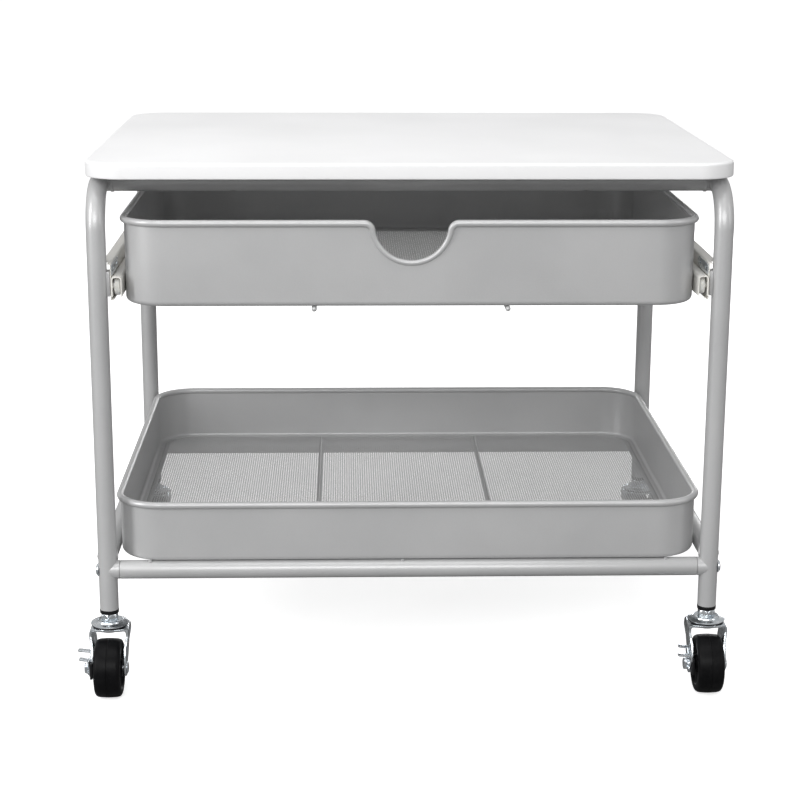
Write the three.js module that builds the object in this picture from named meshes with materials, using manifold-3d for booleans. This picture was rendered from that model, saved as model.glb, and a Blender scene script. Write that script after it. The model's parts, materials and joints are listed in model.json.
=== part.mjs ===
// Sewing table on casters: white top, bent tube frame, sliding mesh drawer, lower mesh tray.
// Millimetres, +Z up, origin on the floor under the middle of the table, front toward -Y.
import * as THREE from 'three';
import { mergeVertices } from 'three/addons/utils/BufferGeometryUtils.js';
import Module from 'manifold-3d';

const wasm = await Module();
wasm.setup();

// ---- driving dimensions -------------------------------------------------------------------
const GAP = 0.3;

const HEIGHT = 630;
const TOP = { width: 736, depth: 562, thickness: 18, corner: 45, edge: 2 };

const TUBE_R = 11;
const TUBE_BORE = 9.5;
const LEG_X = 355;
const LEG_Y = 266;
const LEG_BOTTOM = 102;
const BEND_R = 48;
const SCREW_HOLE = { r: 3.3, x: 203 };
const RAIL_Z = HEIGHT - TOP.thickness - GAP - TUBE_R;
const UPPER_TUBE_Y = 210;
const LOWER_TUBE_Z = 150.5;
const SIDE_TUBE_Z = 166;
const SADDLE = { length: 3.5 };
const BOLT = { shank: 3, hole: 3.3, head: 6.5, headLength: 4, plug: 18, grip: 12 };

const SHEET = 1.2;
const BEAD_R = 4;
const TRAY = { x: 342.2, front: -272.3, back: 272.3, corner: 50, bottom: 162.2, rim: 235 };
const DRAWER = { x: 326.5, front: -281.5, back: 258, corner: 47, bottom: 468.3, rim: 567.3 };
const FLANGE = { edge: 6, width: 16, mesh: 7, meshThickness: 1.5 };
const NOTCH = { r: 45, fillet: 9, bead: 3.2 };
const BAR = { r: 3, x: 110 };

const SLIDE = { sheet: 1.2, top: 501.5, rollerR: 11, rollerBore: 2.8, pin: 2.5, rivet: 4 };
const CABINET = { web: 339.2, flange: 329.4, bottom: 474.5, top: 515.5, halfLength: 268 };
const CABINET_LIP = { inner: 336, atLegs: 343.4, outer: 350.5, start: -238, clear: 253.5 };
const RUNNER = { web: 327, lip: 338.6, lipBottom: 495, bottom: 478, front: -274, back: 236, hook: 3.4 };
const ROLLER = { inner: 329.5, outer: 336.2, frontY: -258, backY: 222 };
const BRACKET = { bottom: 478, top: 506.5, inward: 12, outward: 4 };

const WHEEL = { r: 35, halfWidth: 15.8, bore: 4.4, trail: 20, sides: 24 };
const AXLE = { r: 4, head: 7.4, headLength: 5.2 };
const FORK = { inner: 17.6, plate: 3, crown: 79, crownPlate: 3, topDepth: 34, tip: 10, hole: 5.5 };
const STEM = { r: 5, top: 123, cap: 22.2, capBottom: 82.6 };
const INSERT = { r: 9.2, bore: 5.3, collar: 4.6, depth: 24 };
const BRAKE = { sheet: 2, gap: 0.5, reach: 16, tabZ: 15, tabY: 14 };

// ---- finishes -----------------------------------------------------------------------------
const finishes = {
  laminate: [0xeeefef, 0.45, 0],
  greyPaint: [0xb9bbbb, 0.4, 0.3],
  creamPaint: [0xe6e2d4, 0.45, 0.1],
  nylon: [0xf3f2ec, 0.5, 0],
  zinc: [0xc4ccd2, 0.3, 0.9],
  blackPlastic: [0x141414, 0.5, 0],
  blackRubber: [0x18181a, 0.7, 0],
};

function finish(name) {
  const [color, roughness, metalness] = finishes[name];
  return new THREE.MeshStandardMaterial({ color, roughness, metalness });
}

// ---- shape helpers ------------------------------------------------------------------------
// A closed surface whose faces point outward, with shared corners.
function closed(geometry) {
  const plain = geometry.clone();
  plain.deleteAttribute('normal');
  plain.deleteAttribute('uv');
  const merged = mergeVertices(plain, 1e-4);
  const p = merged.attributes.position;
  const index = merged.index;
  const a = new THREE.Vector3();
  const b = new THREE.Vector3();
  const c = new THREE.Vector3();
  let volume = 0;
  for (let i = 0; i < index.count; i += 3) {
    a.fromBufferAttribute(p, index.getX(i));
    b.fromBufferAttribute(p, index.getX(i + 1));
    c.fromBufferAttribute(p, index.getX(i + 2));
    volume += a.dot(b.cross(c));
  }
  if (volume < 0) {
    for (let i = 0; i < index.count; i += 3) {
      const first = index.getX(i);
      index.setX(i, index.getX(i + 1));
      index.setX(i + 1, first);
    }
  }
  return merged;
}

function solidOf(geometry) {
  const merged = closed(geometry);
  return new wasm.Manifold(new wasm.Mesh({
    numProp: 3,
    vertProperties: Float32Array.from(merged.attributes.position.array),
    triVerts: Uint32Array.from(merged.index.array),
  }));
}

function geometryOf(solid) {
  const mesh = solid.getMesh();
  const geometry = new THREE.BufferGeometry();
  geometry.setAttribute('position', new THREE.BufferAttribute(mesh.vertProperties, 3));
  geometry.setIndex(new THREE.BufferAttribute(mesh.triVerts, 1));
  geometry.computeVertexNormals();
  return geometry;
}

function join(...geometries) {
  return geometryOf(geometries.map(solidOf).reduce((whole, next) => whole.add(next)));
}

function cut(geometry, ...tools) {
  return geometryOf(tools.map(solidOf).reduce((whole, tool) => whole.subtract(tool), solidOf(geometry)));
}

// Round bars along each axis, from one end coordinate to the other.
function rod(axis, radius, from, to, at, sides = 20) {
  const geometry = new THREE.CylinderGeometry(radius, radius, Math.abs(to - from), sides);
  const middle = (from + to) / 2;
  if (axis === 'x') geometry.rotateZ(Math.PI / 2).translate(middle, at[0], at[1]);
  if (axis === 'y') geometry.translate(at[0], middle, at[1]);
  if (axis === 'z') geometry.rotateX(Math.PI / 2).translate(at[0], at[1], middle);
  return geometry;
}

function block(x0, x1, y0, y1, z0, z1) {
  const geometry = new THREE.BoxGeometry(Math.abs(x1 - x0), Math.abs(y1 - y0), Math.abs(z1 - z0));
  return geometry.translate((x0 + x1) / 2, (y0 + y1) / 2, (z0 + z1) / 2);
}

// A turned shape about Z from (radius, height) pairs, or about X when asked.
function turned(profile, sides, axis = 'z') {
  const geometry = new THREE.LatheGeometry(profile.map(([r, h]) => new THREE.Vector2(r, h)), sides);
  return axis === 'x' ? geometry.rotateZ(-Math.PI / 2) : geometry.rotateX(Math.PI / 2);
}

function outline(points) {
  return new THREE.Shape(points.map(([x, y]) => new THREE.Vector2(x, y)));
}

function roundedRectangle(halfX, halfY, radius, steps) {
  const points = [];
  for (let corner = 0; corner < 4; corner += 1) {
    const cx = (corner === 0 || corner === 3 ? 1 : -1) * (halfX - radius);
    const cy = (corner < 2 ? 1 : -1) * (halfY - radius);
    for (let step = 0; step <= steps; step += 1) {
      const angle = (corner + step / steps) * Math.PI / 2;
      points.push([cx + radius * Math.cos(angle), cy + radius * Math.sin(angle), angle]);
    }
  }
  return points;
}

// A flat plate lying level, from a rounded rectangle.
function plate(halfX, halfY, radius, z0, z1, steps = 8) {
  const shape = outline(roundedRectangle(halfX, halfY, radius, steps));
  return new THREE.ExtrudeGeometry(shape, { depth: z1 - z0, bevelEnabled: false }).translate(0, 0, z0);
}

// A plate standing across X, from (y, z) points.
function sidePlate(shape, x0, x1) {
  const geometry = new THREE.ExtrudeGeometry(shape, { depth: x1 - x0, bevelEnabled: false });
  const turn = new THREE.Matrix4().makeBasis(
    new THREE.Vector3(0, 1, 0),
    new THREE.Vector3(0, 0, 1),
    new THREE.Vector3(1, 0, 0),
  );
  return geometry.applyMatrix4(turn).translate(x0, 0, 0);
}

function stitched(rings, capFirst, capLast) {
  const count = rings[0].length;
  const positions = rings.flat(2);
  const index = [];
  for (let i = 0; i < rings.length - 1; i += 1) {
    for (let j = 0; j < count; j += 1) {
      const k = (j + 1) % count;
      const a = i * count + j;
      const b = i * count + k;
      const c = (i + 1) * count + j;
      const d = (i + 1) * count + k;
      index.push(a, b, c, b, d, c);
    }
  }
  for (let j = 1; j < count - 1; j += 1) {
    const last = (rings.length - 1) * count;
    if (capFirst) index.push(0, j + 1, j);
    if (capLast) index.push(last, last + j, last + j + 1);
  }
  const geometry = new THREE.BufferGeometry();
  geometry.setAttribute('position', new THREE.Float32BufferAttribute(positions, 3));
  geometry.setIndex(index);
  return geometry;
}

// Sheet formed around a closed rounded rectangle: section points are (outward, height).
function formedRing(size, section) {
  const halfY = (size.back - size.front) / 2;
  const middleY = (size.back + size.front) / 2;
  const rings = roundedRectangle(size.x, halfY, size.corner, 6).map(([x, y, angle]) => (
    section.map(([out, z]) => [x + out * Math.cos(angle), middleY + y + out * Math.sin(angle), z])
  ));
  rings.push(rings[0]);
  return stitched(rings, false, false);
}

// A round bar along a path that stays in one plane; `across` is that plane's normal.
function bentBar(path, radius, across, sides = 16) {
  const rings = path.map((point, i) => {
    const before = path[Math.max(i - 1, 0)];
    const after = path[Math.min(i + 1, path.length - 1)];
    const ahead = after.clone().sub(before).normalize();
    const side = new THREE.Vector3().crossVectors(ahead, across).normalize();
    const ring = [];
    for (let j = 0; j < sides; j += 1) {
      const angle = (j / sides) * 2 * Math.PI;
      const spot = point.clone();
      spot.addScaledVector(side, radius * Math.cos(angle));
      spot.addScaledVector(across, radius * Math.sin(angle));
      ring.push(spot.toArray());
    }
    return ring;
  });
  return stitched(rings, true, true);
}

const table = new THREE.Group();
table.name = 'sewing_table';

function add(name, geometry, finishName, parent = table) {
  const mesh = new THREE.Mesh(geometry, finish(finishName));
  mesh.name = name;
  parent.add(mesh);
  return mesh;
}

// ---- tabletop -----------------------------------------------------------------------------
function tabletop() {
  const inset = TOP.edge;
  const points = roundedRectangle(TOP.width / 2 - inset, TOP.depth / 2 - inset, TOP.corner - inset, 8);
  const geometry = new THREE.ExtrudeGeometry(outline(points), {
    depth: TOP.thickness - 2 * inset,
    bevelThickness: inset,
    bevelSize: inset,
    bevelSegments: 1,
  });
  return geometry.translate(0, 0, HEIGHT - TOP.thickness + inset);
}
add('tabletop', tabletop(), 'laminate');

// ---- frame --------------------------------------------------------------------------------
// One bent tube makes the front leg, the rail under the top and the rear leg.
function sideFramePath(extra) {
  const path = [new THREE.Vector3(0, -LEG_Y, LEG_BOTTOM - extra)];
  const steps = 6;
  for (let step = 0; step <= steps; step += 1) {
    const angle = (step / steps) * Math.PI / 2;
    const y = -LEG_Y + BEND_R * (1 - Math.cos(angle));
    path.push(new THREE.Vector3(0, y, RAIL_Z - BEND_R * (1 - Math.sin(angle))));
  }
  const rear = path.map((point) => new THREE.Vector3(0, -point.y, point.z)).reverse();
  return path.concat(rear);
}

function legHoles(side) {
  const from = side * (LEG_X - 2 * TUBE_R);
  const to = side * (LEG_X + 2 * TUBE_R);
  return [-LEG_Y, LEG_Y].map((y) => rod('x', BOLT.hole, from, to, [y, LOWER_TUBE_Z], 12));
}

function sideFrame(side) {
  const across = new THREE.Vector3(1, 0, 0);
  const outer = bentBar(sideFramePath(0), TUBE_R, across).translate(side * LEG_X, 0, 0);
  const bore = bentBar(sideFramePath(1), TUBE_BORE, across).translate(side * LEG_X, 0, 0);
  return cut(outer, bore, ...legHoles(side));
}

function lowerSideTube(side) {
  const x = side * LEG_X;
  const tube = rod('y', TUBE_R, -LEG_Y, LEG_Y, [x, SIDE_TUBE_Z]);
  const bore = rod('y', TUBE_BORE, -LEG_Y - 1, LEG_Y + 1, [x, SIDE_TUBE_Z]);
  const legs = [-LEG_Y, LEG_Y].map((y) => (
    rod('z', TUBE_R + GAP, LEG_BOTTOM, LEG_BOTTOM + 150, [x, y], 24)
  ));
  return cut(tube, bore, ...legs);
}

function upperCrossTube(y) {
  const tube = rod('x', TUBE_R, -LEG_X, LEG_X, [y, RAIL_Z]);
  const bore = rod('x', TUBE_BORE, -LEG_X - 1, LEG_X + 1, [y, RAIL_Z]);
  const rails = [-LEG_X, LEG_X].map((x) => (
    rod('y', TUBE_R + GAP, y - 3 * TUBE_R, y + 3 * TUBE_R, [x, RAIL_Z], 24)
  ));
  const screws = [-SCREW_HOLE.x, SCREW_HOLE.x].map((x) => (
    rod('z', SCREW_HOLE.r, RAIL_Z - 2 * TUBE_R, RAIL_Z + 2 * TUBE_R, [x, y], 12)
  ));
  return cut(tube, bore, ...rails, ...screws);
}

// The lower cross tubes are plugged at both ends and take the frame bolts.
const LOWER_TUBE_END = LEG_X - TUBE_R - SADDLE.length;

function lowerCrossTube(y) {
  const end = LOWER_TUBE_END;
  const tube = rod('x', TUBE_R, -end, end, [y, LOWER_TUBE_Z]);
  const bore = rod('x', TUBE_BORE, -end + BOLT.plug, end - BOLT.plug, [y, LOWER_TUBE_Z]);
  const hole = rod('x', BOLT.hole, -end - 1, end + 1, [y, LOWER_TUBE_Z], 12);
  return cut(tube, bore, hole);
}

function saddle(side, y) {
  const body = rod('x', TUBE_R, side * (LOWER_TUBE_END + GAP), side * (LEG_X - 5), [y, LOWER_TUBE_Z]);
  const leg = rod('z', TUBE_R + GAP, LEG_BOTTOM, LEG_BOTTOM + 150, [side * LEG_X, y], 32);
  const hole = rod('x', BOLT.hole, side * 300, side * LEG_X, [y, LOWER_TUBE_Z], 12);
  return cut(body, leg, hole);
}

function frameBolt(side, y) {
  const seat = LEG_X + TUBE_R + GAP;
  const tip = LOWER_TUBE_END - BOLT.grip;
  const profile = [
    [0, tip],
    [BOLT.shank, tip],
    [BOLT.shank, seat],
    [BOLT.head, seat],
    [BOLT.head, seat + BOLT.headLength * 0.4],
    [BOLT.head * 0.75, seat + BOLT.headLength * 0.85],
    [0, seat + BOLT.headLength],
  ];
  const bolt = turned(profile, 16, 'x');
  if (side < 0) bolt.rotateZ(Math.PI);
  return bolt.translate(0, y, LOWER_TUBE_Z);
}

const sides = [['left', -1], ['right', 1]];
const ends = [['front', -1], ['rear', 1]];

for (const [sideName, side] of sides) {
  add(`${sideName}_side_frame`, sideFrame(side), 'greyPaint');
  add(`${sideName}_lower_side_tube`, lowerSideTube(side), 'greyPaint');
}
for (const [endName, end] of ends) {
  add(`${endName}_upper_cross_tube`, upperCrossTube(end * UPPER_TUBE_Y), 'greyPaint');
  add(`${endName}_lower_cross_tube`, lowerCrossTube(end * LEG_Y), 'greyPaint');
  for (const [sideName, side] of sides) {
    add(`${endName}_${sideName}_saddle_spacer`, saddle(side, end * LEG_Y), 'greyPaint');
    add(`${endName}_${sideName}_frame_bolt`, frameBolt(side, end * LEG_Y), 'zinc');
  }
}

// ---- baskets ------------------------------------------------------------------------------
// Section of a basket wall: inward bottom flange, rounded foot, upright wall, rolled rim bead.
function wallSection(bottom, rim) {
  const { edge, width } = FLANGE;
  const section = [[-width, bottom], [-edge, bottom]];
  for (const angle of [30, 60, 90]) {
    const t = THREE.MathUtils.degToRad(angle);
    section.push([-edge + edge * Math.sin(t), bottom + edge * (1 - Math.cos(t))]);
  }
  const beadX = 0.5;
  const beadZ = rim - BEAD_R;
  const start = Math.atan2(-Math.sqrt(BEAD_R ** 2 - beadX ** 2), -beadX);
  const inside = -SHEET - beadX;
  const finishAngle = Math.atan2(-Math.sqrt(BEAD_R ** 2 - inside ** 2), inside) + 2 * Math.PI;
  const steps = 9;
  for (let step = 0; step <= steps; step += 1) {
    const t = start + (finishAngle - start) * (step / steps);
    section.push([beadX + BEAD_R * Math.cos(t), beadZ + BEAD_R * Math.sin(t)]);
  }
  const inner = edge - SHEET;
  for (const angle of [90, 60, 30, 0]) {
    const t = THREE.MathUtils.degToRad(angle);
    section.push([-edge + inner * Math.sin(t), bottom + edge - inner * Math.cos(t)]);
  }
  section.push([-width, bottom + SHEET]);
  return section;
}

function basketShell(size) {
  return formedRing(size, wallSection(size.bottom, size.rim));
}

function meshFloor(size) {
  const inset = FLANGE.mesh;
  const halfY = (size.back - size.front) / 2 - inset;
  const low = size.bottom + SHEET + GAP;
  const floor = plate(size.x - inset, halfY, size.corner - inset, low, low + FLANGE.meshThickness);
  return floor.translate(0, (size.back + size.front) / 2, 0);
}

// Centre line of the finger notch's bead, in (x, z), from the left of the rim to its right.
function notchLine() {
  const z = DRAWER.rim - BEAD_R;
  const { r, fillet } = NOTCH;
  const filletX = Math.sqrt((r + fillet) ** 2 - fillet ** 2);
  const meet = Math.asin(fillet / (r + fillet));
  const left = [];
  for (const part of [0, 0.33, 0.66, 1]) {
    const t = Math.PI / 2 - part * (Math.PI / 2 + meet);
    left.push([-filletX + fillet * Math.cos(t), z - fillet + fillet * Math.sin(t)]);
  }
  const right = left.map(([x, height]) => [-x, height]).reverse();
  const arc = [];
  const steps = 12;
  for (let step = 1; step < steps; step += 1) {
    const t = Math.PI + meet + (Math.PI - 2 * meet) * (step / steps);
    arc.push([r * Math.cos(t), z + r * Math.sin(t)]);
  }
  return [...left, ...arc, ...right];
}

function drawerShell() {
  const line = notchLine();
  const above = DRAWER.rim + 5;
  const opening = [[line[0][0], above], ...line, [line[line.length - 1][0], above]];
  const cutter = new THREE.ExtrudeGeometry(outline(opening), { depth: 20, bevelEnabled: false });
  cutter.rotateX(Math.PI / 2).translate(0, DRAWER.front + 10, 0);
  const wallY = DRAWER.front + SHEET / 2;
  const reach = 8;
  const first = [line[0][0] - reach, line[0][1]];
  const last = [line[line.length - 1][0] + reach, line[0][1]];
  const path = [first, ...line, last].map(([x, z]) => new THREE.Vector3(x, wallY, z));
  const bead = bentBar(path, NOTCH.bead, new THREE.Vector3(0, 1, 0), 10);
  const opened = cut(basketShell(DRAWER), cutter);
  return join(opened, bead);
}

add('tray_shell', closed(basketShell(TRAY)), 'greyPaint');
add('tray_mesh_floor', meshFloor(TRAY), 'greyPaint');
add('drawer_shell', drawerShell(), 'greyPaint');
add('drawer_mesh_floor', meshFloor(DRAWER), 'greyPaint');

// Stiffening bars run front to back under each mesh floor.
for (const [sideName, side] of sides) {
  const trayEnd = LEG_Y - TUBE_R - 0.5;
  const trayBar = rod('y', BAR.r, -trayEnd, trayEnd, [side * BAR.x, TRAY.bottom - GAP - BAR.r], 12);
  add(`tray_${sideName}_support_bar`, trayBar, 'greyPaint');
  const low = DRAWER.bottom - GAP - BAR.r;
  const from = DRAWER.front + 2;
  const drawerBar = rod('y', BAR.r, from, DRAWER.back - 4, [side * BAR.x, low], 12);
  add(`drawer_${sideName}_support_bar`, drawerBar, 'greyPaint');
}

// ---- drawer slides ------------------------------------------------------------------------
const RAIL_FLOOR_Z = CABINET.bottom + SLIDE.sheet;
const FRONT_ROLLER_Z = SLIDE.top - SLIDE.sheet - GAP - SLIDE.rollerR;
const REAR_ROLLER_Z = RAIL_FLOOR_Z + GAP + SLIDE.rollerR;

// A rolled channel along Y from a run of flat strips in (x, z).
function channel(side, strips, y0, y1) {
  return strips.map(([x0, x1, z0, z1]) => block(side * x0, side * x1, y0, y1, z0, z1));
}

// Fixed half: a folded strip on the leg brackets, with a roller on a pin at its front end.
// Its floor turns inward under the drawer's roller and is narrower past the front roller.
// Its top lip turns outward and is notched where it passes each leg.
function cabinetSlide(side) {
  const { web, flange, bottom, top, halfLength } = CABINET;
  const { inner, atLegs, outer: lip, start, clear } = CABINET_LIP;
  const outer = web + SLIDE.sheet;
  const strips = [
    [web, outer, bottom, top],
    [inner, outer, bottom, RAIL_FLOOR_Z],
    [web, atLegs, top - SLIDE.sheet, top],
  ];
  const floor = channel(side, [[flange, outer, bottom, RAIL_FLOOR_Z]], start, halfLength);
  const topLip = channel(side, [[web, lip, top - SLIDE.sheet, top]], -clear, clear);
  const at = [ROLLER.frontY, FRONT_ROLLER_Z];
  const collar = rod('x', SLIDE.rivet, side * (ROLLER.outer + GAP), side * (web + 0.5), at, 16);
  const pin = rod('x', SLIDE.pin, side * (ROLLER.inner - 0.5), side * (web + 0.5), at, 12);
  const head = rod('x', SLIDE.rivet, side * (ROLLER.inner - 0.9), side * (ROLLER.inner - GAP), at, 16);
  const whole = channel(side, strips, -halfLength, halfLength);
  return join(...whole, ...floor, ...topLip, pin, collar, head);
}

// Moving half: an upturned channel riveted to the drawer's side, with a roller at its rear end.
// Its outer lip is full height only at the front tip, which hooks down ahead of the front roller.
function drawerSlide(side) {
  const { web, lip, lipBottom, bottom, front, back, hook } = RUNNER;
  const outer = web + SLIDE.sheet;
  const strips = [
    [web, outer, bottom, SLIDE.top],
    [web, lip, SLIDE.top - SLIDE.sheet, SLIDE.top],
    [lip - SLIDE.sheet, lip, lipBottom, SLIDE.top],
  ];
  const tip = block(side * (lip - SLIDE.sheet), side * lip, front, front + hook, bottom, SLIDE.top);
  const at = [ROLLER.backY, REAR_ROLLER_Z];
  const collar = rod('x', SLIDE.rivet, side * (outer - 0.5), side * (ROLLER.inner - GAP), at, 16);
  const pin = rod('x', SLIDE.pin, side * (outer - 0.5), side * (ROLLER.outer + 0.5), at, 12);
  const head = rod('x', SLIDE.rivet, side * (ROLLER.outer + GAP), side * (ROLLER.outer + 0.9), at, 16);
  return join(...channel(side, strips, front, back), tip, pin, collar, head);
}

function roller(side, y, z) {
  const { rollerR, rollerBore } = SLIDE;
  const profile = [
    [rollerBore, ROLLER.inner],
    [rollerR, ROLLER.inner],
    [rollerR, ROLLER.outer],
    [rollerBore, ROLLER.outer],
    [rollerBore, ROLLER.inner],
  ];
  const disc = turned(profile, 24, 'x');
  if (side < 0) disc.rotateZ(Math.PI);
  return closed(disc.translate(0, y, z));
}

// Each bracket is hollowed to sit against its round leg and carries the fixed half.
function slideBracket(side, end) {
  const face = CABINET.web + SLIDE.sheet + GAP;
  const y = end * LEG_Y;
  const { bottom, top, inward, outward } = BRACKET;
  const body = block(side * face, side * (LEG_X - 5), y - end * inward, y + end * outward, bottom, top);
  const leg = rod('z', TUBE_R + GAP, bottom - 1, top + 1, [side * LEG_X, y], 40);
  return cut(body, leg);
}

for (const [sideName, side] of sides) {
  add(`${sideName}_cabinet_slide`, cabinetSlide(side), 'creamPaint');
  add(`${sideName}_drawer_slide`, drawerSlide(side), 'creamPaint');
  add(`${sideName}_front_roller`, roller(side, ROLLER.frontY, FRONT_ROLLER_Z), 'nylon');
  add(`${sideName}_rear_roller`, roller(side, ROLLER.backY, REAR_ROLLER_Z), 'nylon');
  for (const [endName, end] of ends) {
    add(`${endName}_${sideName}_slide_bracket`, slideBracket(side, end), 'greyPaint');
  }
}

// ---- casters ------------------------------------------------------------------------------
// Each caster is a group whose origin is on the floor under its leg. The wheels trail outward.
function legInsert() {
  const top = LEG_BOTTOM - GAP;
  const profile = [
    [INSERT.bore, top - INSERT.collar],
    [TUBE_R - 0.6, top - INSERT.collar],
    [TUBE_R, top - INSERT.collar + 0.6],
    [TUBE_R, top],
    [INSERT.r, top],
    [INSERT.r, top + INSERT.depth],
    [INSERT.bore, top + INSERT.depth],
    [INSERT.bore, top - INSERT.collar],
  ];
  return closed(turned(profile, 20));
}

function swivelStem() {
  const { r, cap, capBottom } = STEM;
  const nutTop = LEG_BOTTOM - INSERT.collar - 2 * GAP;
  const head = FORK.crown - GAP;
  const profile = [
    [0, head - 3],
    [7, head - 3],
    [8, head],
    [r, head],
    [r, capBottom],
    [cap, capBottom],
    [cap, capBottom + 1.5],
    [cap - 4, capBottom + 4],
    [13, capBottom + 6.4],
    [r, capBottom + 6.4],
    [r, STEM.top],
    [0, STEM.top],
  ];
  const nut = new THREE.CylinderGeometry(9.8, 9.8, nutTop - capBottom - 5.5, 6);
  nut.rotateX(Math.PI / 2).translate(0, 0, (nutTop + capBottom + 5.5) / 2);
  return join(turned(profile, 20), nut);
}

// Side view of one fork arm: wide under the crown, narrowing to a round end on the axle.
function forkArm() {
  const top = FORK.crown + FORK.crownPlate;
  const half = FORK.topDepth / 2;
  const points = [[half, top], [-half, top], [-half, top - 8]];
  const steps = 8;
  for (let step = 0; step <= steps; step += 1) {
    const t = Math.PI * (0.95 + 1.03 * (step / steps));
    points.push([-WHEEL.trail + FORK.tip * Math.cos(t), WHEEL.r + FORK.tip * Math.sin(t)]);
  }
  points.push([half, top - 9]);
  return outline(points);
}

function axleHole(radius) {
  return rod('x', radius, -60, 60, [-WHEEL.trail, WHEEL.r], 20);
}

function fork() {
  const top = FORK.crown + FORK.crownPlate;
  const outer = FORK.inner + FORK.plate;
  const crown = plate(outer, FORK.topDepth / 2, 6, FORK.crown, top, 3);
  const left = sidePlate(forkArm(), -outer, -FORK.inner);
  const right = sidePlate(forkArm(), FORK.inner, outer);
  const hole = rod('z', FORK.hole, FORK.crown - 5, top + 5, [0, 0], 20);
  return cut(join(crown, left, right), hole, axleHole(AXLE.r + GAP));
}

// The tread's facets lie flat on the floor, so its corners stand a little outside the radius.
function wheel() {
  const { r, halfWidth, bore, sides } = WHEEL;
  const round = 1 / Math.cos(Math.PI / sides);
  const half = [
    [bore, halfWidth],
    [10, halfWidth],
    [11, halfWidth - 4],
    [24, halfWidth - 4],
    [25, halfWidth - 0.3],
    [r - 2, halfWidth - 3],
  ];
  const mirrored = half.map(([radius, x]) => [radius, -x]).reverse();
  const tread = [[r, 5], [r, -5]];
  const profile = [...half, ...tread, ...mirrored, half[0]].map(([radius, x]) => [radius * round, x]);
  const tyre = turned(profile, sides, 'x').rotateX(Math.PI / sides);
  return closed(tyre.translate(0, -WHEEL.trail, r));
}

function axle(leftSeat) {
  const rightSeat = FORK.inner + FORK.plate + GAP;
  const shank = rod('x', AXLE.r, -leftSeat - 1, rightSeat + 1, [-WHEEL.trail, WHEEL.r], 16);
  const heads = [[-leftSeat - AXLE.headLength, -leftSeat], [rightSeat, rightSeat + AXLE.headLength]];
  const hexes = heads.map(([from, to]) => rod('x', AXLE.head, from, to, [-WHEEL.trail, WHEEL.r], 6));
  return join(shank, ...hexes);
}

// Rocker plate on the axle, with two tabs to press: the front one locks, the rear one frees.
const BRAKE_X = FORK.inner + FORK.plate + BRAKE.gap;

function brakeRocker() {
  const { sheet, reach, tabZ, tabY } = BRAKE;
  const y = -WHEEL.trail;
  const z = WHEEL.r;
  const points = [[y + tabY + 4, z + tabZ + 1], [y + tabY - 3, z + tabZ + 1], [y, z + 8]];
  points.push([y - tabY + 3, z + tabZ + 1], [y - tabY - 4, z + tabZ + 1]);
  const steps = 8;
  for (let step = 0; step <= steps; step += 1) {
    const t = Math.PI * (1 + step / steps);
    points.push([y + 10.5 * Math.cos(t), z + 10.5 * Math.sin(t)]);
  }
  const body = sidePlate(outline(points), -BRAKE_X - sheet, -BRAKE_X);
  const tabs = [-tabY, tabY].map((offset) => {
    const low = z + tabZ - 1;
    return block(-BRAKE_X - reach, -BRAKE_X, y + offset - 3.5, y + offset + 3.5, low, low + sheet);
  });
  return cut(join(body, ...tabs), axleHole(AXLE.r + GAP));
}

for (const [endName, end] of ends) {
  for (const [sideName, side] of sides) {
    const caster = new THREE.Group();
    caster.name = `${endName}_${sideName}_caster`;
    caster.position.set(side * LEG_X, end * LEG_Y, 0);
    caster.rotation.z = end > 0 ? Math.PI : 0;
    table.add(caster);
    const prefix = `${endName}_${sideName}`;
    const braked = end < 0;
    const leftSeat = braked ? BRAKE_X + BRAKE.sheet + GAP : FORK.inner + FORK.plate + GAP;
    add(`${prefix}_leg_insert`, legInsert(), 'blackPlastic', caster);
    add(`${prefix}_swivel_stem`, swivelStem(), 'zinc', caster);
    add(`${prefix}_fork`, fork(), 'zinc', caster);
    add(`${prefix}_wheel`, wheel(), 'blackRubber', caster);
    add(`${prefix}_axle`, axle(leftSeat), 'zinc', caster);
    if (braked) add(`${prefix}_brake_rocker`, brakeRocker(), 'zinc', caster);
  }
}

export default table;
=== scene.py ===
"""Sewing table on casters: bent tube frame, white top, sliding mesh drawer and lower mesh tray.

Shapes are written in millimetres and made in metres, in the CAD frame: +Z up, front toward -Y.
"""
import json
import math

import bmesh
import bpy
import numpy as np
from mathutils import Matrix, Vector

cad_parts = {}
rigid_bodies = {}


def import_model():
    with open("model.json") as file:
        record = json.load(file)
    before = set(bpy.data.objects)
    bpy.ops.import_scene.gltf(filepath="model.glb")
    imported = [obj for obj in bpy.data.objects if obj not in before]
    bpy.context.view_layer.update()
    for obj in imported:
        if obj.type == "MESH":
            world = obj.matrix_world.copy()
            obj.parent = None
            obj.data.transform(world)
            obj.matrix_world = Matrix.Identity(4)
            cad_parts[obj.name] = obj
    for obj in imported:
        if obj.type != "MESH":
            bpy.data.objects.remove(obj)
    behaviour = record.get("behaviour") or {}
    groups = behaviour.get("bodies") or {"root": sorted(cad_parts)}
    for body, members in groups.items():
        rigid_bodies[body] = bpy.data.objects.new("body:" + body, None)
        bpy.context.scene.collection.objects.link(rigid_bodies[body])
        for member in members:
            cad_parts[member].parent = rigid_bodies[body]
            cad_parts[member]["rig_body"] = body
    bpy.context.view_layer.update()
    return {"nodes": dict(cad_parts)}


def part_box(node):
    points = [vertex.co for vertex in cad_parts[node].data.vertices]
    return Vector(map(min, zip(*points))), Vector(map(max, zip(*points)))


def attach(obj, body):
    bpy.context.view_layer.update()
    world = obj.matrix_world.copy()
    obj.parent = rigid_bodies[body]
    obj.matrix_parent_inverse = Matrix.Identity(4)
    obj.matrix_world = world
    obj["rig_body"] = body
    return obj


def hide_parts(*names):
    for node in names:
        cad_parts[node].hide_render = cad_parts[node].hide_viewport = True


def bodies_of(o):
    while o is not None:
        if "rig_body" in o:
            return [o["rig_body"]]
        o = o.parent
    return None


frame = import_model()

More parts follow.
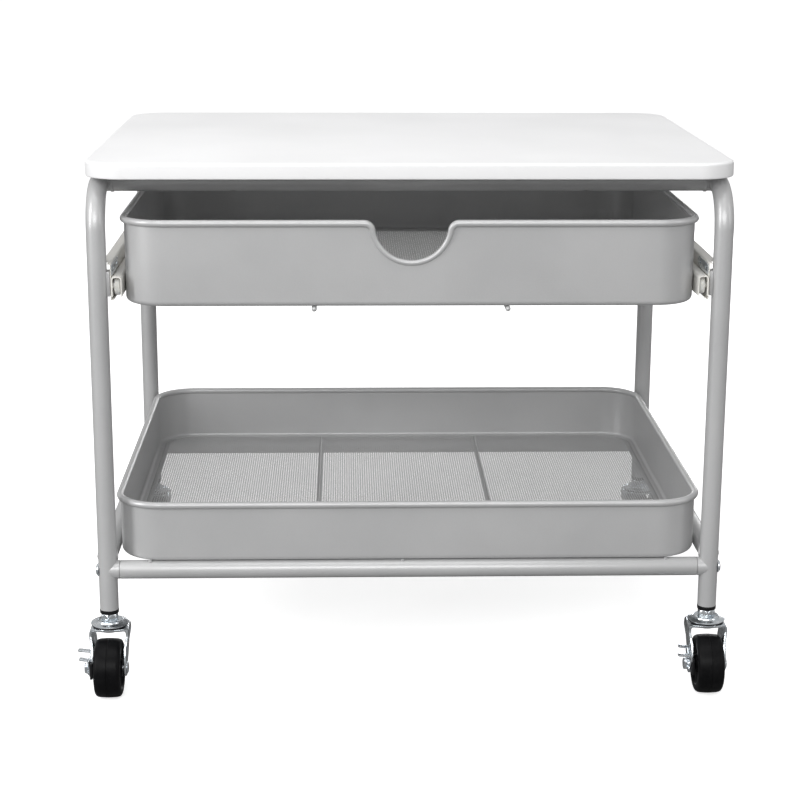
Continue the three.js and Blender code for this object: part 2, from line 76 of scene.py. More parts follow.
MM = 0.001
SHARP = 38
SIDES = (("left", -1), ("right", 1))
ENDS = (("front", -1), ("rear", 1))


# ---- sizes, read from the CAD nodes where they have one ------------------------------------
def corners(node):
    low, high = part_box(node)
    return [v / MM for v in low], [v / MM for v in high]


TOP_LOW, TOP_HIGH = corners("tabletop")
TUBE_R = 11
TUBE_BORE = 9.5
LEG_X, LEG_Y = 355, 266
LEG_BOTTOM = corners("left_side_frame")[0][2]
RAIL_Z = corners("left_side_frame")[1][2] - TUBE_R
BEND_R = 48
WELD_R = 1.3
UPPER_TUBE_Y = 210
LOWER_TUBE_Z = 150.5
SIDE_TUBE_Z = 166
SCREW_X = 203
LOWER_TUBE_END = corners("front_lower_cross_tube")[1][0]
SHEET = 1.2
BEAD_R = 4
TRAY = dict(x=342.2, front=-272.3, back=272.3, corner=50, bottom=162.2, rim=235)
DRAWER = dict(x=326.5, front=-281.5, back=258, corner=47, bottom=468.3, rim=567.3)
NOTCH_R, NOTCH_FILLET = 45, 9
BAR_X = 110
TRAIL = 20
WHEEL_R = 35


# ---- shape helpers: each gives (points in mm, faces) ----------------------------------------
def loft(rings, loop=False, caps=True, around=True):
    rings = np.asarray(rings, float)
    count, width = rings.shape[:2]
    faces = []
    for i in range(count if loop else count - 1):
        a, b = i * width, (i + 1) % count * width
        for j in range(width if around else width - 1):
            k = (j + 1) % width
            faces.append((a + j, a + k, b + k, b + j))
    if caps and not loop:
        faces.append(tuple(range(width))[::-1])
        faces.append(tuple((count - 1) * width + j for j in range(width)))
    return rings.reshape(-1, 3), faces


def axes(points, axis):
    """Points whose first two numbers are across and third along, turned to lie along an axis."""
    p = np.asarray(points, float)
    if axis == "x":
        return p[..., [2, 0, 1]]
    if axis == "y":
        return p[..., [1, 2, 0]]
    return p


def turned(profile, sides=48, axis="z", at=(0, 0, 0), loop=False):
    """A turned shape from (radius, height) pairs. The profile ends on the axis or is a loop."""
    t = np.linspace(0, 2 * math.pi, sides, endpoint=False)
    rings = [np.stack([r * np.cos(t), r * np.sin(t), np.full(sides, h)], -1) for r, h in profile]
    return loft(axes(rings, axis) + np.array(at), loop=loop, caps=False)


def directions(points, loop):
    p = np.asarray(points, float)
    if loop:
        d = np.roll(p, -1, 0) - np.roll(p, 1, 0)
    else:
        d = np.gradient(p, axis=0)
    return d / np.linalg.norm(d, axis=1)[:, None]


def bar(points, radius, sides=32, loop=False, side=None, bore=None, rounded=False, depth=18):
    """A round bar or tube along a path. side is a direction across each point of the path."""
    p = np.asarray(points, float)
    along = directions(p, loop)
    if side is None:
        start = np.array([1.0, 0, 0]) if abs(along[0][0]) < 0.9 else np.array([0, 1.0, 0])
        side = [start]
        for t in along[1:]:
            side.append(side[-1] - t * np.dot(side[-1], t))
    side = np.broadcast_to(np.asarray(side, float), p.shape)
    s = side - along * np.sum(side * along, 1)[:, None]
    s /= np.linalg.norm(s, axis=1)[:, None]
    u = np.cross(along, s)
    t = np.linspace(0, 2 * math.pi, sides, endpoint=False)
    ring = np.cos(t)[None, :, None] * s[:, None] + np.sin(t)[None, :, None] * u[:, None]
    radius = np.broadcast_to(np.asarray(radius, float), len(p))
    rings = list(p[:, None] + ring * radius[:, None, None])
    if bore:
        first = [p[0] + ring[0] * bore + along[0] * depth, p[0] + ring[0] * bore]
        last = [p[-1] + ring[-1] * bore, p[-1] + ring[-1] * bore - along[-1] * depth]
        rings = first + rings + last
    if rounded:
        domes = []
        for step in (0.15, 0.45, 0.75, 0.93):
            a = step * math.pi / 2
            domes.append((math.cos(a), math.sin(a)))
        first = [p[0] + ring[0] * radius[0] * c - along[0] * radius[0] * h for c, h in domes[::-1]]
        last = [p[-1] + ring[-1] * radius[-1] * c + along[-1] * radius[-1] * h for c, h in domes]
        rings = first + rings + last
    return loft(rings, loop=loop)


def coped(axis, start, end, at, hugs, radius=TUBE_R, first=True):
    """A straight tube whose ends are shaped to hug round tubes. hugs: 0 or 1, the across
    coordinate that runs square to the tube it meets; first says if its start is shaped too."""
    sides = 64
    t = np.linspace(0, 2 * math.pi, sides, endpoint=False)
    across = np.stack([radius * np.cos(t), radius * np.sin(t)], -1)
    reach = np.sqrt(np.maximum(TUBE_R**2 - across[:, hugs] ** 2, 0)) - 0.3
    rings = []
    way = 1 if end > start else -1
    for place in (0, 0.12, 0.5, 0.88, 1):
        h = np.full(sides, start + (end - start) * place)
        if place == 0 and first:
            h = h + way * reach
        if place == 1:
            h = h - way * reach
        rings.append(np.concatenate([across, h[:, None]], 1))
    return loft(axes(rings, axis) + np.array(at))


def weld(axis, place, way, at, hugs):
    """The small bead where a tube is welded round another. way points back along the tube."""
    t = np.linspace(0, 2 * math.pi, 96, endpoint=False)
    across = np.stack([TUBE_R * np.cos(t), TUBE_R * np.sin(t)], -1)
    reach = np.sqrt(np.maximum((TUBE_R + 0.2) ** 2 - across[:, hugs] ** 2, 0.3))
    h = place + way * reach
    line = axes(np.concatenate([across * 1.01, h[:, None]], 1), axis) + np.array(at)
    out = axes(np.concatenate([across, np.zeros((96, 1))], 1), axis)
    thick = WELD_R * (1 + 0.12 * np.sin(t * 23) + 0.08 * np.sin(t * 37 + 1))
    return bar(line, thick, sides=10, loop=True, side=out)


def rounded_rectangle(half_x, half_y, radius, steps=16):
    """(x, y, angle) round a rectangle, from its right side on to the back, left and front."""
    points = []
    for corner in range(4):
        cx = (1 if corner in (0, 3) else -1) * (half_x - radius)
        cy = (1 if corner < 2 else -1) * (half_y - radius)
        for step in range(steps + 1):
            a = (corner + step / steps) * math.pi / 2
            points.append((cx + radius * math.cos(a), cy + radius * math.sin(a), a))
    return points


def plate(outline, low, high, axis="z", at=(0, 0, 0), edge=0.5, steps=3):
    """A flat plate with rounded edges from an anticlockwise outline."""
    p = np.asarray(outline, float)
    d1 = p - np.roll(p, 1, 0)
    d2 = np.roll(p, -1, 0) - p
    d1 /= np.linalg.norm(d1, axis=1)[:, None]
    d2 /= np.linalg.norm(d2, axis=1)[:, None]
    n = np.stack([d1[:, 1] + d2[:, 1], -d1[:, 0] - d2[:, 0]], -1)
    n /= np.maximum(1e-9, np.sum(n * np.stack([d1[:, 1], -d1[:, 0]], -1), 1))[:, None]
    rings = []
    for step in range(steps + 1):
        a = step / steps * math.pi / 2
        rings.append((edge * (1 - math.sin(a)), low + edge * (1 - math.cos(a))))
    rings += [(inset, low + high - h) for inset, h in rings[::-1]]
    made = [np.concatenate([p - n * inset, np.full((len(p), 1), h)], 1) for inset, h in rings]
    return loft(axes(made, axis) + np.array(at))


def rounded_line(points, radius, steps=6):
    """A polyline with its inner corners rounded."""
    p = [np.array(q, float) for q in points]
    made = [p[0]]
    for before, here, after in zip(p, p[1:], p[2:]):
        a, b = before - here, after - here
        la, lb = np.linalg.norm(a), np.linalg.norm(b)
        a, b = a / la, b / lb
        half = math.acos(max(-1, min(1, float(np.dot(a, b))))) / 2
        cut = min(radius / math.tan(half), la * 0.49, lb * 0.49)
        for step in range(steps + 1):
            s = step / steps
            made.append(here + a * cut * (1 - s) ** 2 + b * cut * s**2)
    made.append(p[-1])
    return np.array(made)


def folded(points, thickness, y0, y1, radius=1.6):
    """Sheet folded along a line of (x, z) points, running from y0 to y1."""
    line = rounded_line(points, radius)
    t = directions(line, False)
    n = np.stack([-t[:, 1], t[:, 0]], -1) * thickness / 2
    ring = np.concatenate([line + n, (line - n)[::-1]])
    rings = [np.stack([ring[:, 0], np.full(len(ring), y), ring[:, 1]], -1) for y in (y0, y1)]
    return loft(rings)


def hexagon(axis, across, low, high, at, chamfer=0.7):
    """A hexagonal nut or head with its corners turned off."""
    t = np.linspace(0, 2 * math.pi, 48, endpoint=False)
    flat = across / 2
    hexed = flat / np.cos((t + math.pi / 6) % (math.pi / 3) - math.pi / 6)
    rings = []
    small, full = flat * 0.97, flat * 2
    for h, cap in ((low, small), (low + chamfer, full), (high - chamfer, full), (high, small)):
        r = np.minimum(hexed, cap)
        rings.append(np.stack([r * np.cos(t), r * np.sin(t), np.full(48, h)], -1))
    return loft(axes(rings, axis) + np.array(at))


def moved(shape, at=(0, 0, 0), turn=0.0):
    """The shape turned about Z, then moved."""
    p, faces = shape
    c, s = math.cos(turn), math.sin(turn)
    spun = p @ np.array([[c, s, 0], [-s, c, 0], [0, 0, 1]])
    return spun + np.array(at), faces


def piece(name, shapes, material, body, nodes=(), slot=None, sharp=SHARP):
    """One mesh object from shapes in mm, riding on a body and standing for CAD nodes."""
    points, faces, base = [], [], 0
    for p, f in shapes:
        points.append(np.asarray(p, float))
        faces += [tuple(base + i for i in face) for face in f]
        base += len(p)
    mesh = bpy.data.meshes.new(name)
    mesh.from_pydata((np.concatenate(points) * MM).tolist(), [], faces)
    bm = bmesh.new()
    bm.from_mesh(mesh)
    bmesh.ops.remove_doubles(bm, verts=bm.verts, dist=2e-6)
    bmesh.ops.recalc_face_normals(bm, faces=bm.faces)
    bm.to_mesh(mesh)
    bm.free()
    mesh.polygons.foreach_set("use_smooth", [True] * len(mesh.polygons))
    mesh.set_sharp_from_angle(angle=math.radians(sharp))
    mesh.materials.append(material)
    obj = bpy.data.objects.new(name, mesh)
    bpy.context.scene.collection.objects.link(obj)
    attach(obj, body)
    if nodes:
        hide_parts(*nodes)
    return obj


def carve(obj, shapes):
    """Cuts shapes in mm out of a piece."""
    cutter = piece(obj.name + "_cutter", shapes, obj.data.materials[0], "frame")
    cut = obj.modifiers.new("cut", "BOOLEAN")
    cut.object = cutter
    cut.solver = "EXACT"
    bpy.context.view_layer.update()
    graph = bpy.context.evaluated_depsgraph_get()
    made = bpy.data.meshes.new_from_object(obj.evaluated_get(graph), depsgraph=graph)
    obj.modifiers.clear()
    obj.data = made
    made.polygons.foreach_set("use_smooth", [True] * len(made.polygons))
    made.set_sharp_from_angle(angle=math.radians(SHARP))
    bpy.data.objects.remove(cutter)


# ---- materials ------------------------------------------------------------------------------
class Finish:
    """A Principled material with helpers for its procedural detail, in object space."""

    def __init__(self, name, metallic=0.0, roughness=0.5, specular=0.5, coat=0.0, coat_roughness=0.1):
        self.material = bpy.data.materials.new(name)
        self.material.use_nodes = True
        self.tree = self.material.node_tree
        self.shader = self.tree.nodes["Principled BSDF"]
        self.shader.inputs["Metallic"].default_value = metallic
        self.shader.inputs["Roughness"].default_value = roughness
        self.shader.inputs["Specular IOR Level"].default_value = specular
        self.shader.inputs["Coat Weight"].default_value = coat
        self.shader.inputs["Coat Roughness"].default_value = coat_roughness
        self.place = self.tree.nodes.new("ShaderNodeTexCoord").outputs["Object"]

    def node(self, kind, **inputs):
        made = self.tree.nodes.new(kind)
        for key, value in inputs.items():
            socket = made.inputs[key.replace("_", " ")]
            if isinstance(value, bpy.types.NodeSocket):
                self.tree.links.new(value, socket)
            else:
                socket.default_value = value
        return made

    def stretched(self, scale):
        made = self.node("ShaderNodeMapping", Vector=self.place)
        made.inputs["Scale"].default_value = scale
        return made.outputs["Vector"]

    def noise(self, scale, detail=3.0, roughness=0.55, place=None):
        place = place or self.place
        made = self.node("ShaderNodeTexNoise", Vector=place, Scale=scale, Detail=detail)
        made.inputs["Roughness"].default_value = roughness
        return made.outputs["Fac"]

    def cells(self, scale):
        return self.node("ShaderNodeTexVoronoi", Vector=self.place, Scale=scale).outputs["Color"]

    def ramp(self, value, low, high, out_low=0.0, out_high=1.0):
        made = self.node("ShaderNodeMapRange", Value=value)
        made.inputs["From Min"].default_value = low
        made.inputs["From Max"].default_value = high
        made.inputs["To Min"].default_value = out_low
        made.inputs["To Max"].default_value = out_high
        return made.outputs["Result"]

    def blend(self, factor, first, second):
        made = self.tree.nodes.new("ShaderNodeMix")
        made.data_type = "RGBA"
        for slot, value in ((0, factor), (6, first), (7, second)):
            socket = made.inputs[slot]
            if isinstance(value, bpy.types.NodeSocket):
                self.tree.links.new(value, socket)
            elif isinstance(value, (int, float)):
                socket.default_value = value
            else:
                socket.default_value = (*value, 1)
        return made.outputs[2]

    def sum(self, first, second, share=1.0):
        made = self.node("ShaderNodeMath")
        made.operation = "MULTIPLY_ADD"
        self.tree.links.new(second, made.inputs[0])
        made.inputs[1].default_value = share
        self.tree.links.new(first, made.inputs[2])
        return made.outputs[0]

    def colour(self, value):
        self.tree.links.new(value, self.shader.inputs["Base Color"])

    def roughness(self, value):
        self.tree.links.new(value, self.shader.inputs["Roughness"])

    def bump(self, height, distance, strength=1.0):
        made = self.node("ShaderNodeBump", Height=height, Distance=distance, Strength=strength)
        self.tree.links.new(made.outputs["Normal"], self.shader.inputs["Normal"])


def laminate():
    f = Finish("white_laminate", specular=0.4)
    clouds = f.noise(6, 4)
    grain = f.noise(900, 2)
    base = f.blend(f.ramp(clouds, 0.35, 0.65), (0.865, 0.865, 0.87), (0.89, 0.89, 0.895))
    f.colour(f.blend(f.ramp(grain, 0.55, 0.75, 0, 0.3), base, (0.82, 0.82, 0.825)))
    f.roughness(f.ramp(clouds, 0.3, 0.7, 0.40, 0.50))
    f.bump(grain, 0.00006)
    return f.material


def grey_paint():
    """Silver powder coat: fine metal flake in a slightly peeled surface."""
    f = Finish("silver_powder_coat", metallic=0.25, specular=0.5, coat=0.15, coat_roughness=0.25)
    clouds = f.noise(9, 4)
    flake = f.cells(2600)
    speck = f.noise(1500, 1)
    peel = f.noise(420, 2)
    base = f.blend(f.ramp(clouds, 0.35, 0.65), (0.505, 0.507, 0.51), (0.535, 0.536, 0.538))
    base = f.blend(f.ramp(flake, 0.7, 1.0, 0, 0.35), base, (0.62, 0.625, 0.63))
    f.colour(f.blend(f.ramp(speck, 0.62, 0.8, 0, 0.25), base, (0.33, 0.33, 0.335)))
    f.roughness(f.ramp(f.sum(peel, clouds, 0.6), 0.5, 1.1, 0.30, 0.44))
    f.bump(f.sum(peel, speck, 0.25), 0.00009)
    return f.material


def cream_paint():
    f = Finish("cream_epoxy", specular=0.5, coat=0.1, coat_roughness=0.2)
    clouds = f.noise(14, 4)
    peel = f.noise(500, 2)
    streak = f.noise(30, 3, place=f.stretched((1, 0.04, 1)))
    base = f.blend(f.ramp(clouds, 0.35, 0.65), (0.80, 0.785, 0.74), (0.84, 0.825, 0.785))
    f.colour(f.blend(f.ramp(streak, 0.55, 0.75, 0, 0.3), base, (0.70, 0.69, 0.65)))
    f.roughness(f.ramp(clouds, 0.3, 0.7, 0.32, 0.46))
    f.bump(peel, 0.00008)
    return f.material


def nylon():
    f = Finish("white_nylon", specular=0.45)
    f.shader.inputs["Subsurface Weight"].default_value = 0.15
    f.shader.inputs["Subsurface Radius"].default_value = (0.004, 0.0035, 0.003)
    clouds = f.noise(60, 3)
    f.colour(f.blend(f.ramp(clouds, 0.3, 0.7), (0.78, 0.78, 0.75), (0.84, 0.84, 0.82)))
    f.roughness(f.ramp(clouds, 0.3, 0.7, 0.34, 0.48))
    f.bump(f.noise(800, 2), 0.00004)
    return f.material


def zinc():
    """Bright blue-white zinc plating with a faint patchy tint and fine rolling lines."""
    f = Finish("bright_zinc", metallic=1.0)
    patches = f.noise(70, 4, 0.6)
    tint = f.noise(35, 2)
    lines = f.noise(260, 2, place=f.stretched((6, 1, 0.35)))
    base = f.blend(f.ramp(patches, 0.35, 0.65), (0.70, 0.75, 0.79), (0.86, 0.89, 0.92))
    f.colour(f.blend(f.ramp(tint, 0.55, 0.75, 0, 0.35), base, (0.76, 0.79, 0.78)))
    f.roughness(f.ramp(f.sum(patches, lines, 0.4), 0.5, 0.9, 0.14, 0.30))
    f.bump(f.sum(lines, patches, 0.5), 0.00007)
    return f.material


def black_plastic():
    f = Finish("black_plastic", specular=0.35)
    grain = f.noise(900, 2)
    clouds = f.noise(40, 3)
    f.colour(f.blend(f.ramp(clouds, 0.3, 0.7), (0.005, 0.005, 0.006), (0.010, 0.010, 0.011)))
    f.roughness(f.ramp(clouds, 0.3, 0.7, 0.30, 0.44))
    f.bump(grain, 0.00007)
    return f.material


def black_rubber():
    """Hard moulded rubber with a soft shine and fine scuffs round the tread."""
    f = Finish("black_rubber", specular=0.10)
    clouds = f.noise(55, 4)
    scuff = f.noise(120, 3, place=f.stretched((5, 0.6, 0.6)))
    dust = f.noise(400, 2)
    base = f.blend(f.ramp(clouds, 0.35, 0.65), (0.003, 0.003, 0.0035), (0.006, 0.006, 0.0065))
    base = f.blend(f.ramp(scuff, 0.60, 0.80, 0, 0.4), base, (0.016, 0.016, 0.017))
    f.colour(f.blend(f.ramp(dust, 0.68, 0.82, 0, 0.25), base, (0.03, 0.03, 0.029)))
    f.roughness(f.ramp(f.sum(clouds, scuff, 0.5), 0.5, 1.0, 0.34, 0.50))
    f.bump(f.sum(scuff, dust, 0.3), 0.0001)
    return f.material


WHITE = laminate()
GREY = grey_paint()
CREAM = cream_paint()
NYLON = nylon()
ZINC = zinc()
PLASTIC = black_plastic()
RUBBER = black_rubber()


# ---- tabletop -------------------------------------------------------------------------------
TOP_CORNER = 45
EDGE_BELOW, EDGE_ABOVE = 1.6, 3.2


def tabletop():
    half_x, half_y = TOP_HIGH[0], TOP_HIGH[1]
    low, high = TOP_LOW[2], TOP_HIGH[2]
    outline = rounded_rectangle(half_x, half_y, TOP_CORNER, 24)
    section = []
    for step in range(7):
        a = step / 6 * math.pi / 2
        section.append((-EDGE_BELOW * (1 - math.sin(a)), low + EDGE_BELOW * (1 - math.cos(a))))
    for step in range(11):
        a = step / 10 * math.pi / 2
        section.append((-EDGE_ABOVE * (1 - math.cos(a)), high - EDGE_ABOVE * (1 - math.sin(a))))
    rings = []
    for o, z in section:
        rings.append([(x + o * math.cos(a), y + o * math.sin(a), z) for x, y, a in outline])
    piece("tabletop_panel", [loft(rings)], WHITE, "frame", ["tabletop"], "laminate", sharp=60)


tabletop()


# ---- frame ----------------------------------------------------------------------------------
def side_path():
    path = [(-LEG_Y, LEG_BOTTOM)]
    for z in (200, 300, 400, 500):
        path.append((-LEG_Y, z))
    for step in range(25):
        a = step / 24 * math.pi / 2
        path.append((-LEG_Y + BEND_R * (1 - math.cos(a)), RAIL_Z - BEND_R * (1 - math.sin(a))))
    path.append((-100, RAIL_Z))
    return path + [(-y, z) for y, z in path[::-1]]


def frame_sides():
    for name, side in SIDES:
        x = side * LEG_X
        path = [(x, y, z) for y, z in side_path()]
        tube = bar(path, TUBE_R, sides=56, side=(1, 0, 0), bore=TUBE_BORE)
        piece(f"{name}_bent_tube", [tube], GREY, "frame", [f"{name}_side_frame"], "grey_paint")
        at = (x, 0, SIDE_TUBE_Z)
        lower = coped("y", -LEG_Y, LEG_Y, at, 1)
        beads = [weld("y", end * LEG_Y, -end, at, 1) for _, end in ENDS]
        node = f"{name}_lower_side_tube"
        piece(f"{name}_lower_rail", [lower, *beads], GREY, "frame", [node], "grey_paint")


def cross_tubes():
    for name, end in ENDS:
        y = end * UPPER_TUBE_Y
        at = (0, y, RAIL_Z)
        tube = coped("x", -LEG_X, LEG_X, at, 1)
        beads = [weld("x", s * LEG_X, -s, at, 1) for _, s in SIDES]
        node = f"{name}_upper_cross_tube"
        upper = piece(f"{name}_upper_rail", [tube], GREY, "frame", [node], "grey_paint")
        holes = []
        for _, s in SIDES:
            hole = [(0, -14), (5.6, -14), (5.6, -5), (0, -5)]
            holes.append(turned(hole, 40, at=(s * SCREW_X, y, RAIL_Z)))
        carve(upper, holes)
        piece(f"{name}_upper_welds", beads, GREY, "frame", slot="grey_paint")
        for side_name, s in SIDES:
            head = [(0, -8.6), (3.6, -8.2), (4.4, -7.2), (4.4, -4.9), (0, -4.9)]
            screw = turned(head, 32, at=(s * SCREW_X, y, RAIL_Z))
            piece(f"{name}_{side_name}_top_screw", [screw], PLASTIC, "frame", slot="black_plastic")
            sleeve = [(11.02, 339.5), (11.7, 339.7), (11.9, 340.2), (11.9, 342.6), (11.02, 343)]
            collar = turned([(r, s * h) for r, h in sleeve], 56, "x", at, loop=True)
            piece(f"{name}_{side_name}_upper_collar", [collar], GREY, "frame", slot="grey_paint")


def lower_ends():
    for name, end in ENDS:
        y = end * LEG_Y
        at = (0, y, LOWER_TUBE_Z)
        reach = LOWER_TUBE_END
        half = [(11, 110), (11, reach - 0.9), (10.75, reach - 0.25), (10.2, reach), (0, reach)]
        tube = [(r, -x) for r, x in half[::-1]] + half
        rail = turned(tube, 64, "x", at)
        piece(f"{name}_lower_rail", [rail], GREY, "frame", [f"{name}_lower_cross_tube"], "grey_paint")
        for side_name, side in SIDES:
            prefix = f"{name}_{side_name}"
            start = side * (LOWER_TUBE_END + 0.35)
            saddle = coped("x", start, side * LEG_X, at, 0, radius=10.9, first=False)
            node = f"{prefix}_saddle_spacer"
            piece(f"{prefix}_saddle", [saddle], GREY, "frame", [node], "grey_paint")
            seat = LEG_X + TUBE_R
            washer = [(3.2, seat - 0.6), (7.6, seat - 0.6), (7.9, seat + 0.2)]
            washer += [(7.7, seat + 0.7), (3.2, seat + 0.8)]
            head = [(0, seat - 3), (3, seat - 3), (3, seat + 0.7), (6.2, seat + 0.7), (6.5, seat + 1.1)]
            head += [(6.3, seat + 1.7), (5.4, seat + 2.4), (4.0, seat + 2.8), (2.6, seat + 2.9)]
            head += [(2.4, seat + 2.7), (2.3, seat + 1.3), (0, seat + 1.2)]
            shapes = [turned([(r, side * h) for r, h in washer], 40, "x", at, loop=True)]
            shapes.append(turned([(r, side * h) for r, h in head], 40, "x", at))
            piece(f"{prefix}_bolt", shapes, ZINC, "frame", [f"{prefix}_frame_bolt"], "zinc")


frame_sides()
cross_tubes()
lower_ends()


# ---- baskets --------------------------------------------------------------------------------
def notch_line():
    """Centre line of the finger notch's bead, as (x, drop below the rim's centre line)."""
    reach = math.sqrt((NOTCH_R + NOTCH_FILLET) ** 2 - NOTCH_FILLET**2)
    meet = math.asin(NOTCH_FILLET / (NOTCH_R + NOTCH_FILLET))
    left = []
    for step in range(9):
        t = math.pi / 2 - step / 8 * (math.pi / 2 - meet)
        left.append((-reach + NOTCH_FILLET * math.cos(t), -NOTCH_FILLET + NOTCH_FILLET * math.sin(t)))
    arc = []
    for step in range(1, 36):
        t = math.pi + meet + (math.pi - 2 * meet) * step / 36
        arc.append((NOTCH_R * math.cos(t), NOTCH_R * math.sin(t)))
    return left + arc + [(-x, z) for x, z in left[::-1]]


def stations(size, inset=0.0, notch=False, steps=20):
    """(x, y, angle, drop of the rim) round a basket."""
    half_y = (size["back"] - size["front"]) / 2 - inset
    middle = (size["back"] + size["front"]) / 2
    outline = rounded_rectangle(size["x"] - inset, half_y, size["corner"] - inset, steps)
    made = [(x, y + middle, a, 0.0) for x, y, a in outline]
    if notch:
        at = 3 * (steps + 1)
        front = [(x, middle - half_y, 1.5 * math.pi, z) for x, z in notch_line()]
        made[at:at] = front
    return made


def wall(size, notch=False):
    low, rim = size["bottom"], size["rim"] - BEAD_R
    section = [(-16, low), (-6.5, low)]
    for step in range(9):
        t = step / 8 * math.pi / 2
        section.append((-6 + 6 * math.sin(t), low + 6 - 6 * math.cos(t)))
    section += [(0, None), (-SHEET, None)]
    for step in range(8, -1, -1):
        t = step / 8 * math.pi / 2
        section.append((-6 + 4.8 * math.sin(t), low + 6 - 4.8 * math.cos(t)))
    section += [(-6.5, low + SHEET), (-16, low + SHEET)]
    rings = []
    for x, y, a, drop in stations(size, notch=notch):
        c, s = math.cos(a), math.sin(a)
        rings.append([(x + o * c, y + o * s, rim + drop if z is None else z) for o, z in section])
    return loft(rings, loop=True)


def bead(size, notch=False):
    """The rolled edge round the rim; it dips through the finger notch."""
    rim = size["rim"] - BEAD_R
    line, out, radius = [], [], []
    for x, y, a, drop in stations(size, notch=notch):
        c, s = math.cos(a), math.sin(a)
        deep = min(1.0, -drop / 20)
        offset = 0.5 - 1.1 * deep
        line.append((x + offset * c, y + offset * s, rim + drop))
        out.append((c, s, 0))
        radius.append(BEAD_R - 0.8 * deep)
    return bar(line, radius, sides=24, loop=True, side=out)


def baskets():
    for name, size, body in (("tray", TRAY, "frame"), ("drawer", DRAWER, "drawer")):
        notch = name == "drawer"
        shapes = [wall(size, notch), bead(size, notch)]
        piece(f"{name}_basket", shapes, GREY, body, [f"{name}_shell"], "grey_paint", sharp=50)


baskets()


# ---- expanded mesh floors -------------------------------------------------------------------
# A diamond's size along X and Y, then a strand's width, thickness and lean.
LONG_WAY, SHORT_WAY = 6.0, 3.3
STRAND, GAUGE, LEAN = 0.74, 0.33, -0.02
MESH_INSET = 7.2
BORDER, BORDER_THICK = 3.0, 1.5
CLEARANCE = 0.3


def inside(x, y, half_x, half_y, radius):
    dx = np.maximum(np.abs(x) - (half_x - radius), 0)
    dy = np.maximum(np.abs(y) - (half_y - radius), 0)
    return (np.hypot(dx, dy) <= radius) & (np.abs(x) <= half_x) & (np.abs(y) <= half_y)


def lattice(half_x, half_y, radius, x0, x1, z):
    """Zigzag strands that meet their neighbours, between x0 and x1."""
    step = LONG_WAY / 2
    across = STRAND / 2 / math.cos(math.atan2(SHORT_WAY / 2, step))
    ring = np.array([(-across, -GAUGE / 2 - LEAN), (across, -GAUGE / 2 + LEAN)])
    ring = np.concatenate([ring, [(across, GAUGE / 2 + LEAN), (-across, GAUGE / 2 - LEAN)]])
    columns = np.arange(round(x0 / step), round(x1 / step) + 1)
    rows = int(half_y / (SHORT_WAY / 2)) + 1
    points, faces, base = [], [], 0
    for k in range(-rows, rows):
        x = columns * step
        y = (k + (columns + k) % 2) * SHORT_WAY / 2
        keep = inside(x, y, half_x, half_y, radius)
        if keep.sum() < 2:
            continue
        x, y = x[keep], y[keep]
        rings = np.zeros((len(x), 4, 3))
        rings[..., 0] = x[:, None]
        rings[..., 1] = y[:, None] + ring[None, :, 0]
        rings[..., 2] = z + ring[None, :, 1]
        points.append(rings.reshape(-1, 3))
        start = base + 4 * np.arange(len(x) - 1)[:, None]
        for j in range(4):
            n = (j + 1) % 4
            faces.append(np.concatenate([start + j, start + 4 + j, start + 4 + n, start + n], 1))
        last = base + 4 * (len(x) - 1)
        faces.append(np.array([[base, base + 1, base + 2, base + 3]]))
        faces.append(np.array([[last + 3, last + 2, last + 1, last]]))
        base += 4 * len(x)
    return np.concatenate(points), np.concatenate(faces)


def big_mesh(name, points, quads, material, body, nodes):
    mesh = bpy.data.meshes.new(name)
    mesh.vertices.add(len(points))
    mesh.vertices.foreach_set("co", (points * MM).astype(np.float32).ravel())
    mesh.loops.add(quads.size)
    mesh.loops.foreach_set("vertex_index", quads.astype(np.int32).ravel())
    mesh.polygons.add(len(quads))
    mesh.polygons.foreach_set("loop_start", np.arange(0, quads.size, 4, dtype=np.int32))
    mesh.update(calc_edges=True)
    mesh.validate()
    mesh.polygons.foreach_set("use_smooth", [True] * len(mesh.polygons))
    mesh.materials.append(material)
    obj = bpy.data.objects.new(name, mesh)
    bpy.context.scene.collection.objects.link(obj)
    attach(obj, body)
    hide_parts(*nodes)
    return obj


def mesh_floors():
    for name, size, body in (("tray", TRAY, "frame"), ("drawer", DRAWER, "drawer")):
        node = f"{name}_mesh_floor"
        middle = (size["back"] + size["front"]) / 2
        half_x = size["x"] - MESH_INSET
        half_y = (size["back"] - size["front"]) / 2 - MESH_INSET
        radius = size["corner"] - MESH_INSET
        z = size["bottom"] + SHEET + CLEARANCE + BORDER_THICK / 2
        spans = (("left", -360, -BAR_X), ("middle", -BAR_X, BAR_X), ("right", BAR_X, 360))
        for panel, x0, x1 in spans:
            points, quads = lattice(half_x - 1, half_y - 1, radius - 1, x0, x1, z)
            points[:, 1] += middle
            big_mesh(f"{name}_mesh_{panel}", points, quads, GREY, body, [node])
        rings = []
        for x, y, a, _ in stations(size, inset=MESH_INSET):
            c, s = math.cos(a), math.sin(a)
            section = [(-BORDER, -0.5), (-0.2, -0.75), (0, -0.55)]
            section += [(o, -h) for o, h in section[::-1]]
            rings.append([(x + o * c, y + o * s, z + h) for o, h in section])
        piece(f"{name}_mesh_border", [loft(rings, loop=True)], GREY, body, [node], "grey_paint")


def support_bars():
    for side_name, side in SIDES:
        for basket, body in (("tray", "frame"), ("drawer", "drawer")):
            low, high = corners(f"{basket}_{side_name}_support_bar")
            x, z = side * BAR_X, (high[2] + low[2]) / 2
            path = [(x, low[1] + 1.5, z), (x, -60, z), (x, 60, z), (x, high[1] - 1.5, z)]
            rod = bar(path, 3, sides=24, rounded=True)
            node = f"{basket}_{side_name}_support_bar"
            piece(f"{basket}_{side_name}_bar", [rod], GREY, body, [node], "grey_paint")


mesh_floors()
support_bars()


# ---- drawer slides --------------------------------------------------------------------------
# (y, z) of the rollers' axes.
FRONT_ROLLER = (-258, 489.0)
REAR_ROLLER = (222, 487.0)


